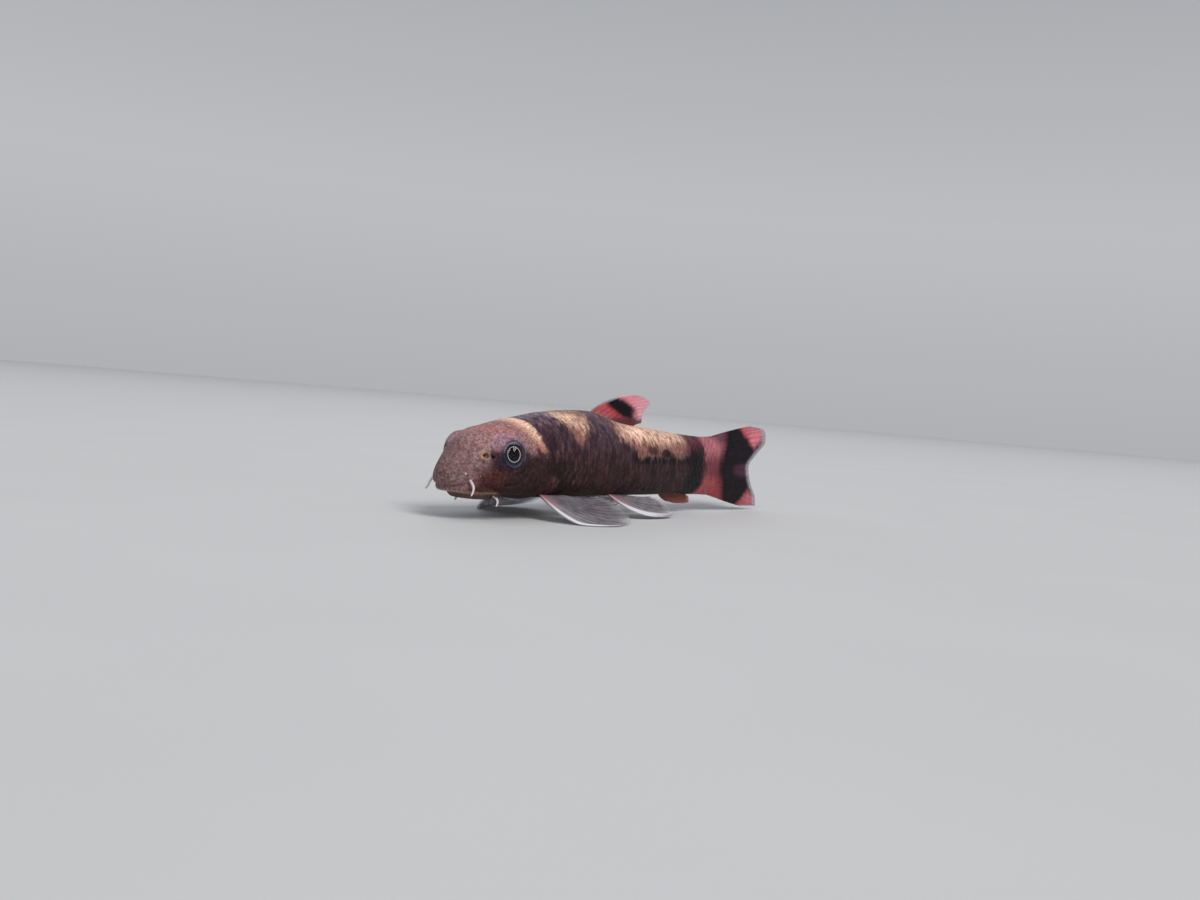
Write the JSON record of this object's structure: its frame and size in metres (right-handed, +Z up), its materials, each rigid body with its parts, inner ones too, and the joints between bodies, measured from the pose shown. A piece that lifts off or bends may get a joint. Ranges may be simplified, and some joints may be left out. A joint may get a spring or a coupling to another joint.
{
  "type": "panda garra",
  "caption": "Life-size still model of a small bottom-living fish propped on its spread paired fins, with sucker mouth, short barbels, ridged fins and a forked tail fin.",
  "frame": {"origin": "on the floor, under the middle of the model's box", "axes": "+X towards the tail, the head points along -X; -Y is the fish's left side; +Z up"},
  "size_m": [0.064, 0.0198, 0.0147],
  "materials": {
    "skin": "moist scaled skin, brown-black bands on cream",
    "eye": "clear wet eye, dark iris with a pale ring",
    "barbel": "pale soft feeler",
    "paired_fin": "clear membrane on grey rays, white leading edge",
    "red_fin": "red membrane with a black blotch or band"
  },
  "bodies": {
    "root": {"head": "skin", "torso": "skin", "tail": "skin", "eye_left": "eye", "eye_right": "eye", "snout_barbel_left": "barbel", "snout_barbel_right": "barbel", "mouth_barbel_left": "barbel", "mouth_barbel_right": "barbel", "pectoral_fin_left": "paired_fin", "pectoral_fin_right": "paired_fin", "pelvic_fin_left": "paired_fin", "pelvic_fin_right": "paired_fin", "dorsal_fin": "red_fin", "anal_fin": "red_fin", "caudal_fin_upper": "red_fin", "caudal_fin_lower": "red_fin"}
  },
  "joints": []
}
